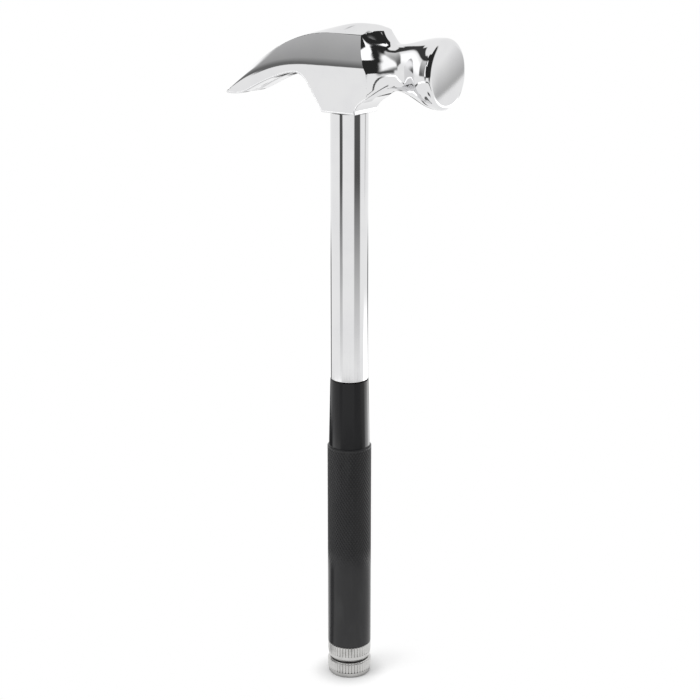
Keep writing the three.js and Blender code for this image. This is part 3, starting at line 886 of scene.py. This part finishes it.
nickel = finish("satin_nickel", satin_nickel)
low, high = corners("middle_driver_knob")
slim_low, slim_high = corners("slim_driver_knob")
middle_bore, middle_socket = 3.075, 3.375
middle_thread = 3.925
knurl_radius = high[0]
cone_top = low[2] + CONE_HEIGHT
knurl_top = cone_top + KNURL_HEIGHT
middle_outline = rounded_outline(
    (middle_bore, low[2], 0.1),
    (CONE_FOOT_RADIUS, low[2], 0.15),
    (knurl_radius - CONE_INSET, low[2] + CONE_SWELL, 1.0),
    (knurl_radius, cone_top, 0.2),
    (knurl_radius, knurl_top, 0.12),
    (middle_thread, knurl_top, 0),
    (middle_thread, high[2], 0.4),
    (middle_socket, high[2], 0.1),
    (middle_socket, slim_high[2], 0),
    (middle_bore, slim_high[2], 0.1),
)
middle_outline = with_rows(
    middle_outline, low[2] + 1.5, high[2], THREAD_ROW, inner=middle_socket + ROW_MARGIN)
middle_relief = knurled_and_threaded(
    knurled(knurl_radius, cone_top - KNURL_RUNOUT, knurl_top + 0.01),
    cut_outside(middle_thread, knurl_top + THREAD_START, high[2]))
middle_knob = turned("middle_knurled_knob", middle_outline, STEPS_PER_TOOTH * KNURL_TEETH, middle_relief)
dressed(middle_knob, nickel, "nickel_knob", "middle_driver", "middle_driver_knob")


# Slim driver's knob: the lower knurled ring, chamfered on its upper edge, with a short
# neck and the male thread that screws into the middle driver. Turned steel, nickelled.
RING_HEIGHT, RING_CHAMFER_DROP, RING_CHAMFER, NECK_HEIGHT = 3.02, 0.35, 0.45, 0.08
end_high = corners("end_driver_knob")[1]
slim_bore, slim_socket, slim_thread, slim_neck = 2.15, 2.425, 2.925, 3.9
slim_radius = slim_high[0]
slim_ring_top = slim_low[2] + RING_HEIGHT
slim_thread_bottom = slim_ring_top + NECK_HEIGHT
slim_outline = rounded_outline(
    (slim_bore, slim_low[2], 0.1),
    (slim_radius, slim_low[2], 0.06),
    (slim_radius, slim_ring_top - RING_CHAMFER_DROP, 0.12),
    (slim_radius - RING_CHAMFER, slim_ring_top, 0.12),
    (slim_neck, slim_ring_top, 0.1),
    (slim_neck, slim_thread_bottom, 0.1),
    (slim_thread, slim_thread_bottom, 0),
    (slim_thread, slim_high[2], 0.4),
    (slim_socket, slim_high[2], 0.1),
    (slim_socket, end_high[2], 0),
    (slim_bore, end_high[2], 0.1),
)
slim_outline = with_rows(
    slim_outline, slim_low[2] + ROW_MARGIN, slim_high[2], THREAD_ROW, inner=slim_socket + ROW_MARGIN)
slim_relief = knurled_and_threaded(
    knurled(slim_radius, slim_low[2] + 0.05, slim_ring_top - 0.02),
    cut_outside(slim_thread, slim_thread_bottom + THREAD_START, slim_high[2]))
slim_knob = turned("slim_knurled_knob", slim_outline, STEPS_PER_TOOTH * KNURL_TEETH, slim_relief)
dressed(slim_knob, nickel, "nickel_knob", "slim_driver", "slim_driver_knob")


# End driver's knob: a thin turned disc, the foot that the tool stands on, with a threaded
# boss that screws into the slim driver and holds the smallest blade. Nickelled steel.
DISC_HEIGHT = 1.3
DISC_CHAMFER = 0.3
boss_radius, boss_bore, blade_floor = 2.0, 1.15, 0.7
disc_radius = end_high[0]
end_outline = rounded_outline(
    (0, 0, 0),
    (disc_radius - DISC_CHAMFER, 0, 0.1),
    (disc_radius, DISC_CHAMFER, 0.1),
    (disc_radius, DISC_HEIGHT, 0.06),
    (boss_radius, DISC_HEIGHT, 0),
    (boss_radius, end_high[2], 0.3),
    (boss_bore, end_high[2], 0.1),
    (boss_bore, blade_floor, 0),
    (0, blade_floor, 0),
)
end_outline = with_rows(
    end_outline, DISC_HEIGHT + ROW_MARGIN, end_high[2], THREAD_ROW, inner=boss_bore + ROW_MARGIN)
end_relief = cut_outside(boss_radius, DISC_HEIGHT + THREAD_START, end_high[2])
end_knob = turned("end_disc", end_outline, 128, end_relief)
dressed(end_knob, nickel, "nickel_knob", "end_driver", "end_driver_knob")


# Floor: a round white table that fades into the white background, so that only the soft
# shadow at the foot shows; near the foot that shadow is partly cast and partly painted into
# the table's colour. Gloss sees it as white too, with painted shade at the foot and a painted
# dark strip to the left, a painted reflection which draws the dark line down the smooth end
# of the grip.
FLOOR_RADIUS = 100
FLOOR_SIDES = 96
CAMERA_TURN = math.radians(35)
STRIP_TURN = CAMERA_TURN - math.radians(103)
FOOT_SHADE, STRIP_SHADE = 0.75, 0.85
angles = np.linspace(0, 2 * math.pi, FLOOR_SIDES, endpoint=False)
floor_points = np.stack([FLOOR_RADIUS * np.cos(angles), FLOOR_RADIUS * np.sin(angles), 0 * angles], 1)
floor = made("floor", floor_points, [range(FLOOR_SIDES)])


def white_table(nodes, place):
    seen = nodes.node("ShaderNodeLightPath", output="Is Camera Ray")
    mirrored = nodes.node("ShaderNodeLightPath", output="Is Glossy Ray")
    through = nodes.node("ShaderNodeLightPath", output="Is Transmission Ray")
    from_foot = place.from_axis()
    # Painted shadow: the table's colour darkens towards the foot, with a faint random mottle.
    painted_shadow_and_mottle = from_foot.step(5.5, 12, 0.8, 1.0) - 0.02 * place.noise(0.05)
    matte = nodes.node("ShaderNodeBsdfDiffuse", None, {
        "Color": painted_shadow_and_mottle.between((0, 0, 0), (0.98, 0.98, 0.98))})
    # Painted reflection: a dark strip on the table to the left, seen only by gloss.
    away = place.along(math.sin(STRIP_TURN), -math.cos(STRIP_TURN), 0)
    beside = place.along(math.cos(STRIP_TURN), math.sin(STRIP_TURN), 0)
    off_line = nodes.math("ABSOLUTE", nodes.math("DIVIDE", beside, from_foot))
    painted_dark_strip = away.step(12, 20) * off_line.fall(0.2, 0.34)
    # Painted shade: gloss sees the table darker at the foot and along the painted strip.
    shade = 1 - mirrored * (FOOT_SHADE * from_foot.fall(5, 9) + STRIP_SHADE * painted_dark_strip)
    white = nodes.node("ShaderNodeEmission", None, {
        "Color": shade.between((0, 0, 0), (1, 1, 1)), "Strength": 1.0})
    shown = seen * from_foot.step(5, 26, 0.1, 1.0) + mirrored + through
    return nodes.node("ShaderNodeMixShader", None, {0: shown, 1: matte, 2: white})


floor.data.materials.append(finish("white_table", white_table))


# Studio: a white room with a dark half behind the camera, softboxes in it and a few dark
# things low down. Only gloss sees them, by turns from the camera and rises in degrees, and
# the rest of the light is an even level from all round.
scene = bpy.context.scene
scene.view_settings.view_transform = "Standard"
world = bpy.data.worlds.new("studio")
world.use_nodes = True
world.node_tree.nodes.clear()
scene.world = world
sky = Wire(world.node_tree)
direction = sky.node("ShaderNodeTexCoord", output="Generated")
to_camera = direction.along(math.sin(CAMERA_TURN), -math.cos(CAMERA_TURN), 0)
to_right = direction.along(math.cos(CAMERA_TURN), math.sin(CAMERA_TURN), 0)
turn = sky.math("ARCTAN2", to_right, to_camera) * math.degrees(1)
rise = sky.math("ARCSINE", direction.along(0, 0, 1)) * math.degrees(1)


def band(value, low, high, soft):
    """1 between two limits and 0 outside them, with soft edges."""
    return value.step(low - soft, low + soft) * value.fall(high - soft, high + soft)


def patch(left, right, low, high, turn_soft=2, rise_soft=2):
    """1 in a patch of the room between two turns and two rises, with soft edges."""
    return band(turn, left, right, turn_soft) * band(rise, low, high, rise_soft)


# The dark half of the room, and on its left a wall that pales upwards
dark_room = turn.step(-68, -64) * turn.fall(75, 92) * band(rise, -7, 64, 1.5)
side_wall = turn.step(-100, -90) * turn.fall(-68, -64) * band(rise, -3.5, 60, 1.5)
wall_tone = rise.ramp(2.6, 69.7, 0.16, 1.3)

# A dark stretch of ceiling to the left, which runs lower towards the back
ceiling = band(turn, -151, -62, 2) * (rise - 0.2 * turn).step(50, 55) * rise.fall(47, 51)
ceiling = ceiling * (1 - turn.fall(-142, -138) * rise.step(37, 40))

# A card to the right that shades the striking face, darkest at its lower right
card = turn.step(104, 109) * turn.fall(128, 140)
card = card * (rise - 0.3 * turn).step(-44, -43) * rise.fall(-3, 2)
card_tone = (0.0315 * turn - 0.099 * rise - 3.93).ramp(0, 0.5, 0, 0.5)

# Dark things below the camera's level: tripod legs, which pale downwards, and table edges
legs = (patch(-61, -42, -20, -5, 2) + patch(29, 68, -20, -5, 4)) * rise.ramp(-17.5, -10.5)
feet = patch(-45, 30, -62, -50, 6, 3) + patch(-165, -128, -41, -34, 4)
table_edge = patch(-46, 78, -21, -17.6, 5, 0.3) + turn.fall(-118, -108) * band(rise, -20.5, -17.6, 0.3)
far_edge = (turn.fall(-150, -138) + turn.step(140, 150)) * band(rise, -18, -12.5, 1)
dark_things = (legs + feet + table_edge + far_edge).ramp(0, 1, 0, 0.9)

# Softboxes in the dark half, a glow far to the left, and a low bright strip on each side
leaning_softbox = turn.step(-66.5, -63.5) * (turn + 0.4 * rise).fall(-50.5, -44.5) * band(rise, -4, 29, 4)
softboxes = 1.4 * patch(-51, -37, 27, 44, 1.5, 1.5) + 1.25 * leaning_softbox
glow = 0.35 * patch(-150, -96, -2, 22, 6, 6)
strips = 1.2 * patch(-104, -52, -20.5, -17.6, 4, 0.3) + 2.2 * patch(100, 155, -27, -16, 6)

walls = (1 - 0.975 * dark_room) * (1 - side_wall) + side_wall * wall_tone
walls = walls * (1 - 0.95 * ceiling) * (1 - card * card_tone) * (1 - dark_things)
studio = walls + softboxes + glow + strips
seen = sky.node("ShaderNodeLightPath", output="Is Camera Ray")
mirrored = sky.node("ShaderNodeLightPath", output="Is Glossy Ray")
through = sky.node("ShaderNodeLightPath", output="Is Transmission Ray")
AMBIENT = 0.6
in_metal = mirrored + through
level = (AMBIENT * (1 - in_metal) + studio * in_metal) * (1 - seen) + seen
sky.node("ShaderNodeOutputWorld", None, {
    "Surface": sky.node("ShaderNodeBackground", None, {"Color": (1, 1, 1, 1), "Strength": level})})


# Lamps: two wide softboxes, one over the front left and one overhead, for a faint shadow.
# Gloss doesn't see their own shapes, because the studio already shows softboxes. Their
# places and sizes are in metres.
def softbox_lamp(name, place, size, power):
    lamp = bpy.data.lights.new(name, "AREA")
    lamp.size = size
    lamp.energy = power
    holder = bpy.data.objects.new(name, lamp)
    scene.collection.objects.link(holder)
    holder.location = place
    aim = -holder.location
    holder.rotation_euler = aim.to_track_quat("-Z", "Y").to_euler()
    holder.visible_glossy = False


softbox_lamp("front_left_softbox", (-0.35, -0.75, 0.75), 0.6, 5.2)
softbox_lamp("overhead_softbox", (0.1, 0.1, 1.1), 0.8, 5.0)


# Camera: set where the photograph's ellipses and the socket's corner put it, 430 mm from
# the handle and 221 mm up, a little to the right of the cheek and looking down.
CAMERA_DISTANCE = 430
CAMERA_HEIGHT = 221
CAMERA_PITCH = math.radians(16.341)
SENSOR = 36
FOCAL_PIXELS = 1660.3
PICTURE_PIXELS = 700
AXIS_PIXEL = 349.4
lens = bpy.data.cameras.new("photo_camera")
lens.sensor_width = SENSOR
lens.lens = FOCAL_PIXELS * SENSOR / PICTURE_PIXELS
lens.shift_x = (PICTURE_PIXELS / 2 - AXIS_PIXEL) / PICTURE_PIXELS
lens.clip_start = 0.01
camera = bpy.data.objects.new("photo_camera", lens)
scene.collection.objects.link(camera)
camera.location = (
    CAMERA_DISTANCE * math.sin(CAMERA_TURN) * MM,
    -CAMERA_DISTANCE * math.cos(CAMERA_TURN) * MM,
    CAMERA_HEIGHT * MM,
)
camera.rotation_euler = (math.pi / 2 - CAMERA_PITCH, 0, CAMERA_TURN)
scene.camera = camera
